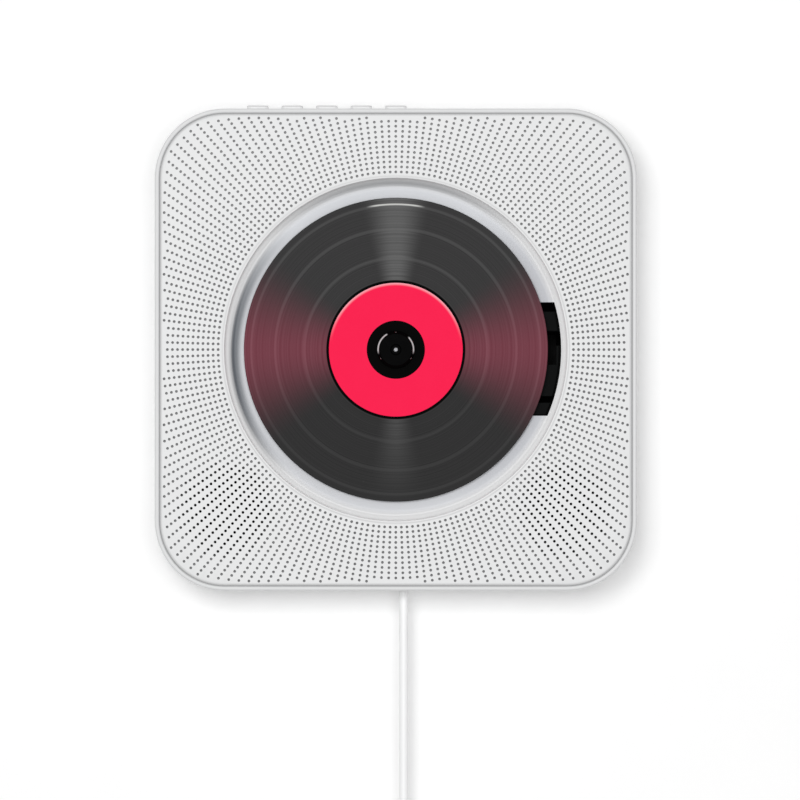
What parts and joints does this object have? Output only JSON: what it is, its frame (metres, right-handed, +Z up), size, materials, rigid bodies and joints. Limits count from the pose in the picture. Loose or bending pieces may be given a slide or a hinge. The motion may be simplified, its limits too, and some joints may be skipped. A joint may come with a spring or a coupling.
{
  "type": "wall mounted cd player",
  "caption": "Square wall mounted disc player with rounded corners: open round disc well in a perforated front, push buttons along the top edge, power lead that hangs down as the pull switch.",
  "frame": {"origin": "on the wall, at the centre of the bracket's four screw holes, in line with the disc's spindle", "axes": "+Z up, +Y into the wall, front face towards -Y, +X to the right seen from the front"},
  "size_m": [0.19, 0.042, 0.3968],
  "materials": {
    "white_body": "smooth satin moulding",
    "white_button": "satin cap",
    "bracket_steel": "zinc plated sheet",
    "foot_rubber": "matt",
    "screw_steel": "plated",
    "board_green": "solder mask",
    "component_black": "moulded case",
    "deck_black": "matt moulding",
    "damper_rubber": "matt",
    "motor_steel": "drawn can",
    "shaft_steel": "ground",
    "hub_black": "satin",
    "pad_rubber": "matt",
    "ball_steel": "polished",
    "disc_grooved": "finely grooved, glossy",
    "label_red": "printed label",
    "sled_black": "moulding",
    "lens_glass": "clear",
    "gear_ivory": "self-lubricating",
    "basket_black": "pressed steel",
    "magnet_grey": "sintered",
    "cone_paper": "pressed pulp",
    "spring_steel": "wire",
    "cord_white": "smooth sheath",
    "tie_white": "hook and loop",
    "plug_white": "overmoulded grip",
    "plug_steel": "nickel plated",
    "tongue_white": "moulding"
  },
  "bodies": {
    "bracket": {"wall_bracket": "bracket_steel"},
    "player": {"rear_housing": "white_body", "rubber_feet": "foot_rubber", "housing_screws": "screw_steel", "front_cover": "white_body", "button_board": "board_green", "tact_switches": "component_black", "button_board_screws": "screw_steel", "main_board": "board_green", "board_parts": "component_black", "board_screws": "screw_steel", "traverse_deck": "deck_black", "deck_dampers": "damper_rubber", "deck_screws": "screw_steel", "spindle_motor": "motor_steel", "guide_rods": "shaft_steel", "sled_motor": "motor_steel", "idler_axle": "shaft_steel", "speaker_frames": "basket_black", "speaker_magnets": "magnet_grey", "pull_spring": "spring_steel", "pull_switch": "component_black"},
    "button_1": {"top_button_1": "white_button", "switch_plunger_1": "component_black"},
    "button_2": {"top_button_2": "white_button", "switch_plunger_2": "component_black"},
    "button_3": {"top_button_3": "white_button", "switch_plunger_3": "component_black"},
    "button_4": {"top_button_4": "white_button", "switch_plunger_4": "component_black"},
    "button_5": {"top_button_5": "white_button", "switch_plunger_5": "component_black"},
    "turntable": {"spindle_shaft": "shaft_steel", "turntable_hub": "hub_black", "turntable_pad": "pad_rubber"},
    "ball_1": {"hub_ball_1": "ball_steel"},
    "ball_2": {"hub_ball_2": "ball_steel"},
    "ball_3": {"hub_ball_3": "ball_steel"},
    "disc": {"disc": "disc_grooved", "disc_label": "label_red"},
    "sled": {"pickup_sled": "sled_black"},
    "lens": {"lens_holder": "hub_black", "objective_lens": "lens_glass"},
    "idler": {"idler_gear": "gear_ivory"},
    "pinion": {"motor_pinion": "gear_ivory", "sled_motor_shaft": "shaft_steel"},
    "cone_left": {"speaker_cone_left": "cone_paper"},
    "cone_right": {"speaker_cone_right": "cone_paper"},
    "pull": {"pull_plunger": "component_black", "cord_relief": "cord_white", "cord_drop": "cord_white", "cord_coil": "cord_white", "cord_tail": "cord_white", "cord_tie": "tie_white", "plug_body": "plug_white", "plug_shell": "plug_steel", "plug_tongue": "tongue_white"}
  },
  "joints": [
    {"name": "unhook_slide", "type": "slide", "parent": "bracket", "child": "player", "axis": [0, 0, 1], "range_m": [0, 0.0052]},
    {"name": "spindle_spin", "type": "hinge", "parent": "player", "child": "turntable", "pos_m": [0, -0.03, 0], "axis": [0, -1, 0], "continuous": true},
    {"name": "disc_lift", "type": "slide", "parent": "turntable", "child": "disc", "axis": [0, -1, 0], "range_m": [0, 0.03]},
    {"name": "sled_slide", "type": "slide", "parent": "player", "child": "sled", "axis": [1, 0, 0], "range_m": [-0.003, 0.032]},
    {"name": "idler_spin", "type": "hinge", "parent": "player", "child": "idler", "pos_m": [0.03, -0.013, 0.02959], "axis": [0, -1, 0], "range_deg": [-41.4, 437]},
    {"name": "pinion_spin", "type": "hinge", "parent": "player", "child": "pinion", "pos_m": [0.04222, -0.013, 0.03404], "axis": [0, -1, 0], "range_deg": [-1457.2, 138.5]},
    {"name": "lens_focus", "type": "slide", "parent": "sled", "child": "lens", "axis": [0, -1, 0], "range_m": [-0.0004, 0.0004], "stiffness_N_per_m": 40},
    {"name": "button_1_press", "type": "slide", "parent": "player", "child": "button_1", "axis": [0, 0, -1], "range_m": [0, 0.0005], "stiffness_N_per_m": 400, "springref_m": -0.0005},
    {"name": "button_2_press", "type": "slide", "parent": "player", "child": "button_2", "axis": [0, 0, -1], "range_m": [0, 0.0005], "stiffness_N_per_m": 400, "springref_m": -0.0005},
    {"name": "button_3_press", "type": "slide", "parent": "player", "child": "button_3", "axis": [0, 0, -1], "range_m": [0, 0.0005], "stiffness_N_per_m": 400, "springref_m": -0.0005},
    {"name": "button_4_press", "type": "slide", "parent": "player", "child": "button_4", "axis": [0, 0, -1], "range_m": [0, 0.0005], "stiffness_N_per_m": 400, "springref_m": -0.0005},
    {"name": "button_5_press", "type": "slide", "parent": "player", "child": "button_5", "axis": [0, 0, -1], "range_m": [0, 0.0005], "stiffness_N_per_m": 400, "springref_m": -0.0005},
    {"name": "ball_1_push", "type": "slide", "parent": "turntable", "child": "ball_1", "axis": [0.866, 0, 0.5], "range_m": [0, 0.0004], "stiffness_N_per_m": 300, "springref_m": -0.0003},
    {"name": "ball_2_push", "type": "slide", "parent": "turntable", "child": "ball_2", "axis": [-0.866, 0, 0.5], "range_m": [0, 0.0004], "stiffness_N_per_m": 300, "springref_m": -0.0003},
    {"name": "ball_3_push", "type": "slide", "parent": "turntable", "child": "ball_3", "axis": [0, 0, -1], "range_m": [0, 0.0004], "stiffness_N_per_m": 300, "springref_m": -0.0003},
    {"name": "cone_left_swing", "type": "slide", "parent": "player", "child": "cone_left", "axis": [0, -1, 0], "range_m": [-0.0005, 0.0005], "stiffness_N_per_m": 600},
    {"name": "cone_right_swing", "type": "slide", "parent": "player", "child": "cone_right", "axis": [0, -1, 0], "range_m": [-0.0005, 0.0005], "stiffness_N_per_m": 600},
    {"name": "cord_pull", "type": "slide", "parent": "player", "child": "pull", "axis": [0, 0, -1], "range_m": [0, 0.004], "stiffness_N_per_m": 300, "springref_m": -0.004, "deforming": ["pull_spring"]}
  ],
  "couplings": [
    {"joint": "idler_spin", "follows": "sled_slide", "rad_per_m": 238.1},
    {"joint": "pinion_spin", "follows": "sled_slide", "rad_per_m": -793.65},
    {"joint": "ball_2_push", "follows": "ball_1_push", "ratio": 1},
    {"joint": "ball_3_push", "follows": "ball_1_push", "ratio": 1}
  ]
}
